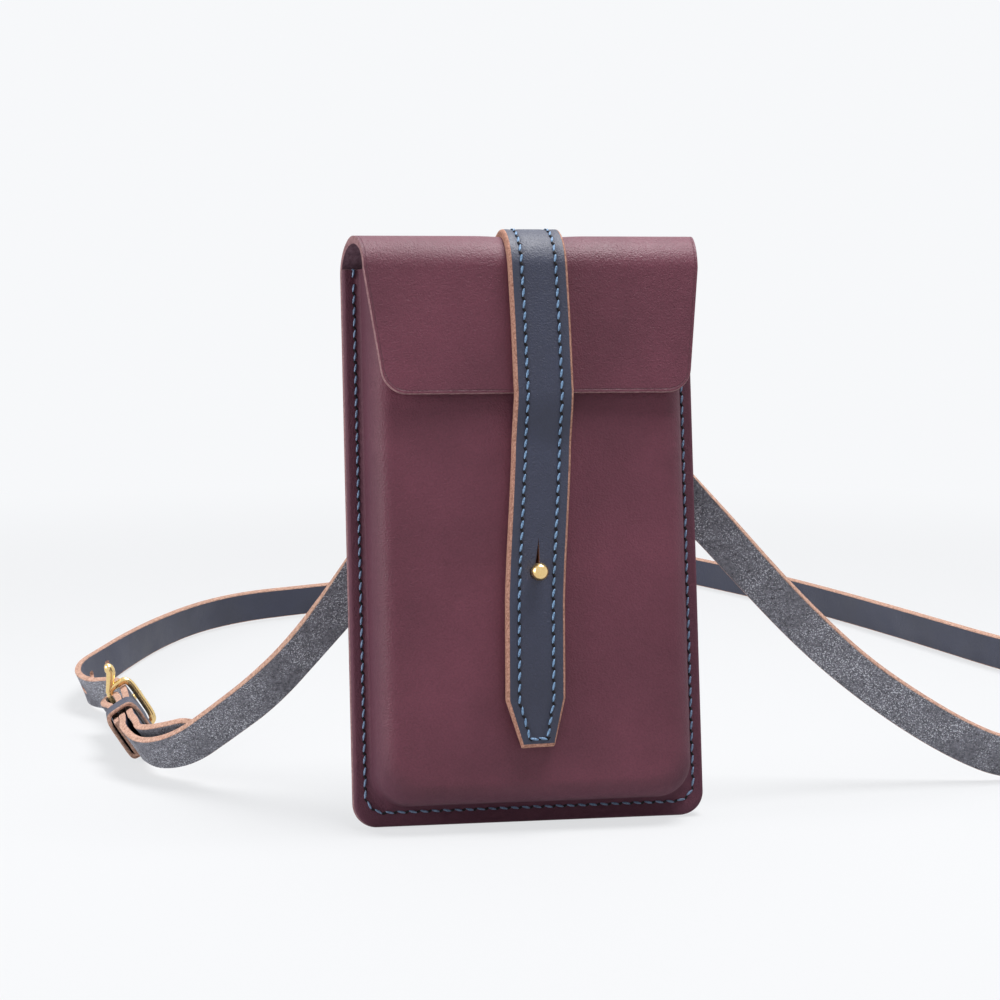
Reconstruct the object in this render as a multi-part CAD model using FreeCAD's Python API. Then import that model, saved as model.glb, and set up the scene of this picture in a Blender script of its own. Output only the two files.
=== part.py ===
"""Leather phone pouch with a fold-over flap, a stud closure and a buckled shoulder strap.

Units are millimetres. +Z is up, +X runs along the pouch's width and +Y points to its back.
The pouch is drawn upright and then leaned back, as it stands propped by its own strap. The
origin is the middle of the pouch's bottom edge, where it rests on the ground.
"""
import FreeCAD
import Part
import math
import os

Vector = FreeCAD.Vector

# Pouch body
pouch_width = 100.0
pouch_height = 164.4
leather = 2.2
corner_radius = 6.5
lean_angle = 9.5
front_top_gap = 0.45
box_depth = 15.5
flange_side = 5.4
flange_bottom = 5.9
box_draft = 1.2
box_edge_radius = 5.0
rest_trim = 0.6

# Flap, a continuation of the back panel over the top
flap_gap = 0.4
hinge_gap = 0.3
flap_reach = 45.0
flap_bend_taper = 2.7
flap_front_taper = 4.4
flap_corner_radius = 6.0

# Closure strap, two layers sewn together
closure_width = 16.5
closure_layer = 1.6
tail_top_gap = 0.3
tail_settle = 15.0
tail_gap = 0.3
tail_taper_start = 34.5
tail_tip_height = 21.3
tail_tip_width = 8.9

# Ball stud and the keyhole that it goes through
stud_height = 69.5
ball_radius = 2.5
neck_radius = 1.6
keyhole_radius = 3.05
keyhole_drop = 1.9
slit_length = 6.5
slit_wide = 1.7
slit_narrow = 0.5
stud_lift = 0.5
screw_radius = 1.0
screw_clearance = 0.05
screw_head_radius = 3.5
screw_head_height = 1.1
screw_depth = 3.2

# Belt loop on the back, the closure strap's lower half
loop_top_gap = 0.5
loop_land = 8.0
loop_ramp = 8.0
loop_reach = 84.4
loop_standoff = 8.0

# Stitching
thread_width = 0.7
thread_proud = 0.4
stitch_length = 2.0
stitch_pitch = 3.0
seam_margin = 3.0
seam_bottom_margin = 3.9
seam_top_margin = 4.0
closure_row_offset = 4.8
strap_row_offset = 3.6

# Shoulder strap, buckle and keeper
strap_width = 13.0
strap_thickness = 2.4
strap_layer_gap = 0.05
buckle_tip = 33.0
buckle_height = 9.5
buckle_side = -106.6
buckle_back = 134.0
fold_offset = 2.8
bar_radius = 1.1
frame_depth = 7.9
frame_side_gap = 0.4
frame_corner = 2.2
prong_ring_gap = 0.08
prong_ring_wall = 1.15
prong_ring_length = 2.6
prong_radius = 1.0
prong_angle = 30.0
prong_straight = 11.6
prong_curl_radius = 5.0
prong_curl_angle = 34.0
prong_slot_width = 3.6
prong_slot_reach = 5.2
hole_width = 3.4
hole_length = 9.2
hole_pitch = 22.5
hole_count = 6
holes_towards_tail = 1
keeper_wall = 1.1
keeper_length = 9.0
keeper_gap = 0.3
keeper_back = 100.0
fold_stitch_back = 109.6

overrun = 5.0
arc_step = 12.0
arc_run_share = 0.45
middle_share = 0.5

# Places that follow from the sizes above
bend_radius = (box_depth + flap_gap + leather + leather) / 2
bend_y = leather - bend_radius
bend_z = pouch_height - bend_radius
panel_top = bend_z - hinge_gap
front_height = bend_z - front_top_gap
flap_bottom = pouch_height - flap_reach
loop_bottom = pouch_height - loop_reach
closure_thickness = closure_layer + closure_layer
half_width = pouch_width / 2
box_half = half_width - flange_side
tip = math.radians(buckle_tip)
across = Vector(math.cos(tip), 0, math.sin(tip))
upward = Vector(-math.sin(tip), 0, math.cos(tip))
backward = Vector(0, 1, 0)
main_layer = Vector(buckle_side, 0, buckle_height)
layer_step = strap_thickness + strap_layer_gap
heel_centre = main_layer - across * fold_offset + backward * buckle_back

# Route of the shoulder strap: x, y, z and the lean of its upper edge to -X and to +Y in degrees.
# The first list runs from the sewn end round the buckle's heel bar to the belt loop.
buckle_end_route = [
    (-108.66, 90.5, 8.17, 33, 0),
    (-108.66, 117.0, 8.17, 33, 0),
    (-111.3, 129.0, 6.45, 33, 0),
    (-111.3, 136.8, 6.45, 33, 0),
    (-106.6, 136.8, 9.5, 33, 0),
    (-106.6, 88.0, 9.5, 33, 0),
    (-107.5, 79.1, 9.5, 33, -20),
    (-102.8, 69.2, 7.6, 36, -34),
    (-93.4, 58.9, 11.2, 23.5, -35),
    (-83.3, 50.3, 20.2, 10, -34.5),
    (-70.75, 40.9, 31.85, 1, -30.5),
    (-58.1, 33.3, 47.3, -2.5, -31.5),
    (-46.1, 26.2, 64.3, -1.5, -18.5),
    (-34.6, 21.5, 82.5, 0, 4),
    (-22.6, 21.4, 102.2, 0, 9.5),
    (-6.0, 23.2, 113.3, 0, 9.5),
    (4.0, 23.45, 114.65, 0, 9.5),
]
# The second list runs from the belt loop round the back to the end with the holes.
hole_end_route = [
    (4.0, 23.45, 114.65, 0, 9.5),
    (14.0, 23.7, 116.0, 0, 9.5),
    (31.0, 23.2, 108.0, 0, 9.5),
    (45.05, 24.3, 93.2, 0.5, -10),
    (59.4, 23.4, 78.5, 0.5, -22.5),
    (73.4, 24.2, 63.4, 0, -26.5),
    (88.0, 25.1, 48.6, 0, -27),
    (103.4, 26.3, 35.1, 0, -29),
    (119.7, 25.9, 23.4, 0, -23),
    (137.2, 25.4, 12.9, 0, -20),
    (151.8, 24.2, 6.9, 0, -16),
    (167.6, 28.4, 6.85, 0, -14),
    (186.0, 36.0, 6.8, 0, -12),
    (204.0, 47.0, 6.75, 0, -12),
    (219.0, 65.0, 6.75, 0, -12),
    (229.0, 88.0, 6.75, 0, -12),
    (234.5, 115.0, 6.75, 0, -12),
    (235.5, 141.0, 6.75, 0, -12),
    (229.6, 167.9, 6.8, 4, -13),
    (220.0, 199.9, 6.8, 9, -14),
    (212.5, 241.5, 6.8, 10.5, -14),
    (204.3, 285.3, 6.8, 10.5, -14),
    (194.7, 329.1, 6.8, 8, -14),
    (183.8, 372.0, 6.8, 6.5, -14),
    (169.8, 411.6, 6.8, 7.5, -15),
    (156.3, 446.7, 6.8, 5, -14),
    (140.0, 473.3, 6.8, 1.5, -12.5),
    (115.0, 484.0, 6.75, 0, -12),
    (87.0, 474.0, 6.75, 0, -12),
    (65.0, 450.0, 6.75, 0, -12),
    (44.0, 424.0, 6.75, 0, -12),
    (22.0, 398.5, 6.85, -1, -15),
    (-2.0, 379.5, 7.0, -3, -19),
    (-26.3, 366.9, 7.0, -3.5, -19),
    (-49.6, 352.9, 7.2, -3, -16),
    (-70.6, 328.5, 7.2, -6, -15.5),
    (-88.2, 294.4, 6.9, -3, -13),
    (-102.4, 256.0, 6.85, 5, -7),
    (-112.7, 222.7, 6.8, 10.5, -3),
    (-119.2, 199.8, 7.2, 13, -2),
    (-119.6, 182.2, 6.9, 24, -4),
    (-114.4, 170.1, 7.2, 40, -6),
    (-107.5, 160.5, 9.3, 36, -3),
    (-104.55, 143.5, 10.83, 33, 0),
    (-104.55, 88.0, 10.83, 33, 0),
    (-103.7, 80.8, 12.2, 33, -19),
    (-102.1, 70.3, 10.5, 40, -32),
    (-86.7, 58.1, 16.9, 18, -34),
]


def box_between(low, high):
    """A box from its lowest corner to its highest."""
    size = high - low
    return Part.makeBox(size.x, size.y, size.z, low)


def polygon_face(points):
    """A flat face inside the closed polygon of the points."""
    return Part.Face(Part.makePolygon(points + [points[0]]))


def wire_face(edges):
    """A flat face inside edges given in order."""
    return Part.Face(Part.Wire(edges))


def line(start, end):
    return Part.LineSegment(start, end).toShape()


def arc(start, middle, end):
    return Part.Arc(start, middle, end).toShape()


def corner_middle(centre, radius, angle):
    """The point of a corner's arc at an angle, in degrees, in the XZ plane."""
    turn = math.radians(angle)
    return centre + Vector(radius * math.cos(turn), 0, radius * math.sin(turn))


def panel(front, back, bottom, top):
    """A flat panel as wide as the pouch, with round bottom corners."""
    side = half_width
    radius = corner_radius
    left_centre = Vector(radius - side, front, bottom + radius)
    right_centre = Vector(side - radius, front, bottom + radius)
    face = wire_face([
        line(Vector(-side, front, top), Vector(-side, front, bottom + radius)),
        arc(Vector(-side, front, bottom + radius), corner_middle(left_centre, radius, 225),
            Vector(radius - side, front, bottom)),
        line(Vector(radius - side, front, bottom), Vector(side - radius, front, bottom)),
        arc(Vector(side - radius, front, bottom), corner_middle(right_centre, radius, 315),
            Vector(side, front, bottom + radius)),
        line(Vector(side, front, bottom + radius), Vector(side, front, top)),
        line(Vector(side, front, top), Vector(-side, front, top)),
    ])
    return face.extrude(Vector(0, back - front, 0))


def moulded_box(inset, depth, radius):
    """The raised box of the front panel: drafted sides, round edges, open past the top."""
    side = box_half - inset
    bottom = flange_bottom + inset
    top = front_height + overrun

    def outline(y, draft):
        return Part.makePolygon([
            Vector(draft - side, y, bottom + draft), Vector(side - draft, y, bottom + draft),
            Vector(side - draft, y, top), Vector(draft - side, y, top),
            Vector(draft - side, y, bottom + draft)])

    solid = Part.makeLoft([outline(0, 0), outline(-depth, box_draft)], True, True)
    rounded = []
    for edge in solid.Edges:
        ends = [vertex.Point for vertex in edge.Vertexes]
        below_top = min(end.z for end in ends) < front_height
        at_front = all(abs(end.y + depth) < leather / 2 for end in ends)
        at_bottom_corner = max(end.z for end in ends) < front_height / 2 and ends[0].y != ends[1].y
        if below_top and (at_front or at_bottom_corner):
            rounded.append(edge)
    return solid.makeFillet(radius, rounded)


def leaned(shape):
    """The shape leaned back about the pouch's bottom edge and trimmed flat where it rests."""
    result = shape.copy()
    result.rotate(Vector(0, 0, 0), Vector(1, 0, 0), -lean_angle)
    if result.BoundBox.ZMin < 0:
        reach = pouch_width + pouch_height
        ground = box_between(Vector(-reach, -reach, -reach), Vector(reach, reach, 0))
        result = result.cut(ground)
    return result


def back_panel():
    return panel(0, leather, -rest_trim, panel_top)


def stud_bore(radius, start, end):
    """A round bore along Y at the stud's place."""
    return Part.makeCylinder(radius, end - start, Vector(0, start, stud_height), Vector(0, 1, 0))


def front_panel():
    flange = panel(-leather, 0, -rest_trim, front_height)
    shell = flange.fuse(moulded_box(0, box_depth, box_edge_radius))
    hollow = moulded_box(leather, box_depth - leather, box_edge_radius - leather)
    above = box_between(Vector(-pouch_width, -pouch_width, front_height),
                        Vector(pouch_width, pouch_width, front_height + overrun + overrun))
    bore = stud_bore(screw_radius + screw_clearance, -box_depth - overrun, -leather)
    return shell.cut(hollow).cut(above).cut(bore).removeSplitter()


def bend_band(inner, outer, width, bottom):
    """A strip over the bend and down the front, between two offsets from the flap's outside."""
    x = -width / 2
    small = bend_radius + inner
    large = bend_radius + outer

    def place(radius, z):
        return Vector(x, bend_y + radius, z)

    face = wire_face([
        arc(place(small, bend_z), Vector(x, bend_y, bend_z + small), place(-small, bend_z)),
        line(place(-small, bend_z), place(-small, bottom)),
        line(place(-small, bottom), place(-large, bottom)),
        line(place(-large, bottom), place(-large, bend_z)),
        arc(place(-large, bend_z), Vector(x, bend_y, bend_z + large), place(large, bend_z)),
        line(place(large, bend_z), place(small, bend_z)),
    ])
    return face.extrude(Vector(width, 0, 0))


def flap():
    """The flap: a bent sheet whose sides taper, with round corners at its lower edge."""
    sheet = bend_band(-leather, 0, pouch_width, flap_bottom)
    front = bend_y - bend_radius
    front_half = half_width - flap_bend_taper
    top_view = polygon_face([
        Vector(-half_width, leather, flap_bottom - overrun),
        Vector(half_width, leather, flap_bottom - overrun),
        Vector(front_half, front, flap_bottom - overrun),
        Vector(-front_half, front, flap_bottom - overrun)])
    sheet = sheet.common(top_view.extrude(Vector(0, 0, pouch_height)))
    low_half = front_half - flap_front_taper
    y = front - overrun
    radius = flap_corner_radius
    left_centre = Vector(radius - low_half, y, flap_bottom + radius)
    right_centre = Vector(low_half - radius, y, flap_bottom + radius)
    top = pouch_height + overrun
    outline = wire_face([
        line(Vector(-half_width, y, top), Vector(-half_width, y, bend_z)),
        line(Vector(-half_width, y, bend_z), Vector(-front_half, y, bend_z)),
        line(Vector(-front_half, y, bend_z), Vector(-low_half, y, flap_bottom + radius)),
        arc(Vector(-low_half, y, flap_bottom + radius), corner_middle(left_centre, radius, 225),
            Vector(radius - low_half, y, flap_bottom)),
        line(Vector(radius - low_half, y, flap_bottom), Vector(low_half - radius, y, flap_bottom)),
        arc(Vector(low_half - radius, y, flap_bottom), corner_middle(right_centre, radius, 315),
            Vector(low_half, y, flap_bottom + radius)),
        line(Vector(low_half, y, flap_bottom + radius), Vector(front_half, y, bend_z)),
        line(Vector(front_half, y, bend_z), Vector(half_width, y, bend_z)),
        line(Vector(half_width, y, bend_z), Vector(half_width, y, top)),
        line(Vector(half_width, y, top), Vector(-half_width, y, top)),
    ])
    return sheet.common(outline.extrude(Vector(0, pouch_width, 0)))


def closure_layer_on_flap(index):
    """One of the closure strap's two layers on the flap, counted from the inside."""
    inner = closure_layer * index
    return bend_band(inner, inner + closure_layer, closure_width, flap_bottom)


def tail_face_y(offset):
    """The tail's Y where it lies on the box's front, at an offset from its inner face."""
    return -(box_depth + tail_gap + offset)


def tail_layer(index):
    """One layer of the strap's free tail, with its tapered tip and its keyhole."""
    inner = closure_layer * index
    outer = inner + closure_layer
    flap_face = bend_y - bend_radius
    top = flap_bottom - tail_top_gap
    settled = top - tail_settle
    x = -closure_width / 2
    side = polygon_face([
        Vector(x, flap_face - inner, top), Vector(x, tail_face_y(inner), settled),
        Vector(x, tail_face_y(inner), tail_tip_height), Vector(x, tail_face_y(outer), tail_tip_height),
        Vector(x, tail_face_y(outer), settled), Vector(x, flap_face - outer, top)])
    strip = side.extrude(Vector(closure_width, 0, 0))
    y = tail_face_y(closure_thickness) - overrun
    half = closure_width / 2
    half_tip = tail_tip_width / 2
    outline = polygon_face([
        Vector(-half, y, top), Vector(-half, y, tail_taper_start), Vector(-half_tip, y, tail_tip_height),
        Vector(half_tip, y, tail_tip_height), Vector(half, y, tail_taper_start), Vector(half, y, top)])
    strip = strip.common(outline.extrude(Vector(0, pouch_width, 0)))
    return strip.cut(keyhole())


def keyhole():
    """A hole round the stud, long enough for the strap to swing off it, with a slit above."""
    start = tail_face_y(closure_thickness) - overrun
    end = tail_face_y(0) + overrun
    side = keyhole_radius
    low = stud_height - keyhole_drop
    slot = polygon_face([
        Vector(-side, start, low), Vector(side, start, low),
        Vector(side, start, stud_height), Vector(-side, start, stud_height)])
    low_end = stud_bore(side, start, end)
    low_end.translate(Vector(0, 0, -keyhole_drop))
    slit_top = stud_height + keyhole_radius + slit_length
    slit = polygon_face([
        Vector(-slit_wide / 2, start, stud_height), Vector(slit_wide / 2, start, stud_height),
        Vector(slit_narrow / 2, start, slit_top), Vector(-slit_narrow / 2, start, slit_top)])
    through = Vector(0, end - start, 0)
    return stud_bore(side, start, end).fuse([low_end, slot.extrude(through), slit.extrude(through)])


def stud_knob():
    """The ball stud: a neck on the pouch's front, a ball, and a blind bore for its screw."""
    ball_y = tail_face_y(closure_thickness) - stud_lift - ball_radius
    ball = Part.makeSphere(ball_radius, Vector(0, ball_y, stud_height))
    knob = ball.fuse(stud_bore(neck_radius, ball_y, -box_depth))
    return knob.cut(stud_bore(screw_radius + screw_clearance, -box_depth - screw_depth, -box_depth))


def stud_screw():
    """The screw that holds the stud, with its flat head inside the pouch."""
    inside = -box_depth + leather
    shank = stud_bore(screw_radius, screw_clearance - box_depth - screw_depth, inside)
    return shank.fuse(stud_bore(screw_head_radius, inside, inside + screw_head_height))


def loop_layer(index):
    """One layer of the belt loop: sewn down at both ends, standing off the back between."""
    inner = closure_layer * index
    outer = inner + closure_layer
    top = panel_top - loop_top_gap
    bottom = loop_bottom
    x = -closure_width / 2

    def side(offset):
        flat = leather + offset
        raised = flat + loop_standoff
        return [
            Vector(x, flat, top), Vector(x, flat, top - loop_land),
            Vector(x, raised, top - loop_land - loop_ramp),
            Vector(x, raised, bottom + loop_land + loop_ramp),
            Vector(x, flat, bottom + loop_land), Vector(x, flat, bottom)]

    face = polygon_face(side(inner) + side(outer)[::-1])
    return face.extrude(Vector(closure_width, 0, 0))


def stitch(centre, along, out):
    """One stitch: a short flat bar of thread lying on a surface whose normal is out."""
    across_stitch = along.cross(out).normalize() * (thread_width / 2)
    reach = along * (stitch_length / 2)
    face = polygon_face([centre - reach - across_stitch, centre + reach - across_stitch,
                         centre + reach + across_stitch, centre - reach + across_stitch])
    return face.extrude(out * thread_proud)


def row(start, end, out):
    """A straight row of stitches from one point to another."""
    span = end - start
    count = max(1, int(span.Length / stitch_pitch))
    along = span * (1 / span.Length)
    return [stitch(start + span * ((i + middle_share) / count), along, out) for i in range(count)]


def pouch_seam_thread():
    """The seam down both sides and along the bottom, on the front and on the back."""
    side = half_width - seam_margin
    top = front_height - seam_top_margin
    low = seam_bottom_margin
    turn = corner_radius
    stitches = []
    for y, out in ((-leather, Vector(0, -1, 0)), (leather, Vector(0, 1, 0))):
        stitches += row(Vector(-side, y, top), Vector(-side, y, low + turn), out)
        stitches += row(Vector(-side, y, low + turn), Vector(turn - side, y, low), out)
        stitches += row(Vector(turn - side, y, low), Vector(side - turn, y, low), out)
        stitches += row(Vector(side - turn, y, low), Vector(side, y, low + turn), out)
        stitches += row(Vector(side, y, low + turn), Vector(side, y, top), out)
    return Part.Compound(stitches)


def closure_strap_thread():
    """Two rows along the closure strap, over the bend and down the flap's front."""
    radius = bend_radius + closure_thickness
    count = int(math.pi * radius / stitch_pitch)
    stitches = []
    for x in (-closure_row_offset, closure_row_offset):
        for i in range(count):
            turn = math.pi * (i + middle_share) / count
            out = Vector(0, math.cos(turn), math.sin(turn))
            along = Vector(0, -math.sin(turn), math.cos(turn))
            centre = Vector(x, bend_y, bend_z) + out * radius
            stitches.append(stitch(centre, along, out))
        face = bend_y - radius
        stitches += row(Vector(x, face, bend_z), Vector(x, face, flap_bottom), Vector(0, -1, 0))
    return Part.Compound(stitches)


def strap_tail_thread():
    """Two rows down the tail that meet round its tip."""
    y = tail_face_y(closure_thickness)
    out = Vector(0, -1, 0)
    top = flap_bottom - tail_top_gap - tail_settle
    tip_row = tail_tip_height + seam_margin
    tip_half = tail_tip_width / 2 - closure_width / 2 + closure_row_offset
    corner = Vector(tip_half, y, tip_row)
    stitches = []
    for side in (-1, 1):
        bend = Vector(side * closure_row_offset, y, tail_taper_start)
        stitches += row(Vector(side * closure_row_offset, y, top), bend, out)
        stitches += row(bend, Vector(side * corner.x, y, corner.z), out)
    return Part.Compound(stitches)


def belt_loop_thread():
    """Two short rows on each of the belt loop's sewn lands."""
    y = leather + closure_thickness
    out = Vector(0, 1, 0)
    top = panel_top - loop_top_gap
    stitches = []
    for x in (-closure_row_offset, closure_row_offset):
        stitches += row(Vector(x, y, top), Vector(x, y, top - loop_land), out)
        stitches += row(Vector(x, y, loop_bottom + loop_land), Vector(x, y, loop_bottom), out)
    return Part.Compound(stitches)


def lean_vector(sideways, backwards):
    """The direction of the strap's upper edge for a lean to -X and to +Y in degrees."""
    hint = Vector(-math.tan(math.radians(sideways)), math.tan(math.radians(backwards)), 1)
    return hint.normalize()


def mixed(first, second, share):
    return first * (1 - share) + second * share


def strap_stations(route, name):
    """Points along straight runs joined by tangent arcs, each with its direction and lean."""
    points = [Vector(*place[:3]) for place in route]
    leans = [lean_vector(*place[3:]) for place in route]
    first = (points[1] - points[0]).normalize()
    stations = [(points[0], first, leans[0])]
    smallest = None
    for i in range(1, len(points) - 1):
        before = points[i] - points[i - 1]
        after = points[i + 1] - points[i]
        cut = arc_run_share * min(before.Length, after.Length)
        incoming = before * (1 / before.Length)
        outgoing = after * (1 / after.Length)
        turn = incoming.getAngle(outgoing)
        radius = cut / math.tan(turn / 2)
        smallest = radius if smallest is None else min(smallest, radius)
        inward = (outgoing - incoming * incoming.dot(outgoing)).normalize()
        start = points[i] - incoming * cut
        lean_in = mixed(leans[i], leans[i - 1], cut / before.Length)
        lean_out = mixed(leans[i], leans[i + 1], cut / after.Length)
        steps = max(2, math.ceil(math.degrees(turn) / arc_step))
        for step in range(steps + 1):
            angle = turn * step / steps
            place = (start + incoming * (radius * math.sin(angle))
                     + inward * (radius * (1 - math.cos(angle))))
            heading = incoming * math.cos(angle) + inward * math.sin(angle)
            stations.append((place, heading, mixed(lean_in, lean_out, step / steps)))
    last = (points[-1] - points[-2]).normalize()
    stations.append((points[-1], last, leans[-1]))
    print(name, "smallest radius", round(smallest, 1))
    return stations


def strap_axes(heading, lean):
    """The strap's width and thickness directions at a station."""
    width = (lean - heading * heading.dot(lean)).normalize()
    return width, heading.cross(width)


def strap_solid(stations, name):
    """A flat strap: rectangles at the stations joined by ruled faces."""
    sections = []
    length = 0
    for i, (place, heading, lean) in enumerate(stations):
        width, depth = strap_axes(heading, lean)
        edge = width * (strap_width / 2)
        face = depth * (strap_thickness / 2)
        corners = [place - edge - face, place + edge - face, place + edge + face, place - edge + face]
        sections.append(Part.makePolygon(corners + [corners[0]]))
        if i:
            length += (place - stations[i - 1][0]).Length
    solid = Part.makeLoft(sections, True, True)
    expected = length * strap_width * strap_thickness
    print(name, "length", round(length, 1), "volume share", round(solid.Volume / expected, 4))
    return solid


def station_at(stations, distance):
    """The place, direction and lean at a distance from the last station."""
    remaining = distance
    for (end, _, _), (start, heading, lean) in zip(stations[::-1], stations[-2::-1]):
        span = (end - start).Length
        if remaining <= span:
            return end + (start - end) * (remaining / span), heading, lean
        remaining -= span
    return stations[0]


def strap_hole(place, heading, lean):
    """An oblong hole through the strap, with round ends."""
    width, depth = strap_axes(heading, lean)
    radius = hole_width / 2
    reach = hole_length / 2 - radius
    back = place - depth * strap_thickness
    through = depth * (strap_thickness + strap_thickness)
    first = back - heading * reach
    second = back + heading * reach
    middle = polygon_face([first - width * radius, second - width * radius,
                           second + width * radius, first + width * radius]).extrude(through)
    ends = [Part.makeCylinder(radius, through.Length, centre, depth) for centre in (first, second)]
    return middle.fuse(ends)


def shoulder_strap_hole_end():
    stations = strap_stations(hole_end_route, "hole end")
    solid = strap_solid(stations, "hole end")
    engaged = prong_crossing(stations)
    holes = [strap_hole(*station_at(stations, engaged + hole_pitch * (i - holes_towards_tail)))
             for i in range(hole_count)]
    return solid.cut(holes)


def prong_direction():
    """The direction of the prong's straight shank."""
    turn = math.radians(prong_angle)
    return backward * math.cos(turn) + across * math.sin(turn)


def prong_crossing(stations):
    """The distance from the strap's free end at which the prong goes through it."""
    def miss(distance):
        offset = station_at(stations, distance)[0] - heel_centre
        return (offset - prong_direction() * offset.dot(prong_direction())).Length

    steps = range(int(hole_pitch * hole_count))
    coarse = min(steps, key=miss)
    fine = [coarse + step / len(steps) for step in range(-len(steps), len(steps))]
    return min(fine, key=miss)


def in_buckle(u, w, y):
    """A point by the heel bar: across the strap's face, up its width, and along it."""
    return heel_centre + across * u + upward * w + backward * y


def shoulder_strap_buckle_end():
    stations = strap_stations(buckle_end_route, "buckle end")
    solid = strap_solid(stations, "buckle end")
    reach = prong_slot_reach
    half = prong_slot_width / 2
    slot = polygon_face([in_buckle(-reach, -half, -reach), in_buckle(reach, -half, -reach),
                         in_buckle(reach, -half, reach), in_buckle(-reach, -half, reach)])
    return solid.cut(slot.extrude(upward * prong_slot_width))


def swept_ring(corners, radius, corner):
    """A round bar bent along a closed flat outline with round corners."""
    edges = []
    count = len(corners)
    tangents = []
    for i, point in enumerate(corners):
        to_last = (corners[i - 1] - point).normalize()
        to_next = (corners[(i + 1) % count] - point).normalize()
        middle = (to_last + to_next).normalize()
        centre = point + middle * (corner * math.sqrt(2))
        tangents.append((point + to_last * corner, centre - middle * corner, point + to_next * corner))
    for i, (start, middle, end) in enumerate(tangents):
        edges.append(arc(start, middle, end))
        edges.append(line(end, tangents[(i + 1) % count][0]))
    path = Part.Wire(edges)
    start = tangents[0][2]
    direction = (tangents[1][0] - start).normalize()
    profile = Part.Wire(Part.makeCircle(radius, start, direction))
    return path.makePipeShell([profile], True, False)


def buckle_frame():
    """The buckle's frame: a heel bar inside the fold, two rails and the far bar."""
    half = strap_width / 2 + frame_side_gap + bar_radius
    corners = [in_buckle(0, -half, 0), in_buckle(frame_depth, -half, 0),
               in_buckle(frame_depth, half, 0), in_buckle(0, half, 0)]
    return swept_ring(corners, bar_radius, frame_corner)


def buckle_prong():
    """The prong: a ring on the heel bar, a straight shank and a tip that curls inwards."""
    half = prong_ring_length / 2
    inner = bar_radius + prong_ring_gap
    outer = inner + prong_ring_wall
    foot = in_buckle(0, -half, 0)
    ring = Part.makeCylinder(outer, prong_ring_length, foot, upward)
    along = prong_direction()
    side = upward.cross(along) * -1
    start = heel_centre + along * (inner + prong_ring_wall / 2)
    end = heel_centre + along * prong_straight
    curl = math.radians(prong_curl_angle)

    def curled(angle):
        return (end + along * (prong_curl_radius * math.sin(angle))
                + side * (prong_curl_radius * (1 - math.cos(angle))))

    path = Part.Wire([line(start, end), arc(end, curled(curl / 2), curled(curl))])
    profile = Part.Wire(Part.makeCircle(prong_radius, start, along))
    shank = path.makePipeShell([profile], True, False)
    bore = Part.makeCylinder(inner, prong_ring_length, foot, upward)
    return ring.fuse(shank).cut(bore)


def keeper_section(u_gap, w_gap):
    """A rectangle round the strap's three layers at the keeper's near end."""
    centre = main_layer + backward * (keeper_back - keeper_length / 2)
    u = across * (layer_step + strap_thickness / 2 + u_gap)
    w = upward * (strap_width / 2 + w_gap)
    return polygon_face([centre - u - w, centre + u - w, centre + u + w, centre - u + w])


def strap_keeper():
    """The leather keeper, a flat band round the return leg, the strap and its tail."""
    along = backward * keeper_length
    outer = keeper_section(keeper_gap + keeper_wall, keeper_gap + keeper_wall).extrude(along)
    return outer.cut(keeper_section(keeper_gap, keeper_gap).extrude(along))


def buckle_fold_thread():
    """The cross row that sews the folded end to the strap, on the outside of the fold."""
    outside = across * -(layer_step + strap_thickness / 2 + strap_layer_gap)
    centre = main_layer + outside + backward * fold_stitch_back
    reach = upward * strap_row_offset
    return Part.Compound(row(centre - reach, centre + reach, across * -1))


def write(name, shape):
    shape.exportStep(os.path.join("parts", name + ".step"))


def main():
    os.makedirs("parts", exist_ok=True)
    pouch = {
        "back_panel": back_panel(),
        "front_panel": front_panel(),
        "pouch_seam_thread": pouch_seam_thread(),
        "flap": flap(),
        "closure_strap_lining": closure_layer_on_flap(0),
        "closure_strap": closure_layer_on_flap(1),
        "closure_strap_thread": closure_strap_thread(),
        "strap_tail_lining": tail_layer(0),
        "strap_tail": tail_layer(1),
        "strap_tail_thread": strap_tail_thread(),
        "stud_knob": stud_knob(),
        "stud_screw": stud_screw(),
        "belt_loop_lining": loop_layer(0),
        "belt_loop": loop_layer(1),
        "belt_loop_thread": belt_loop_thread(),
    }
    for name, shape in pouch.items():
        write(name, leaned(shape))
    write("shoulder_strap_buckle_end", shoulder_strap_buckle_end())
    write("shoulder_strap_hole_end", shoulder_strap_hole_end())
    write("buckle_fold_thread", buckle_fold_thread())
    write("buckle_frame", buckle_frame())
    write("buckle_prong", buckle_prong())
    write("strap_keeper", strap_keeper())


main()
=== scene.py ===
"""Looks of the leather phone pouch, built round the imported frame. Lengths are metres."""

import bmesh
import bpy
import numpy as np
from mathutils import Matrix
from numpy import (arange, array, clip, column_stack, concatenate as chain, cos, cross, gradient,
                   linspace, maximum, minimum, ones, pi, radians, repeat, sin, sqrt, stack, tile,
                   where, zeros)


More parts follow.
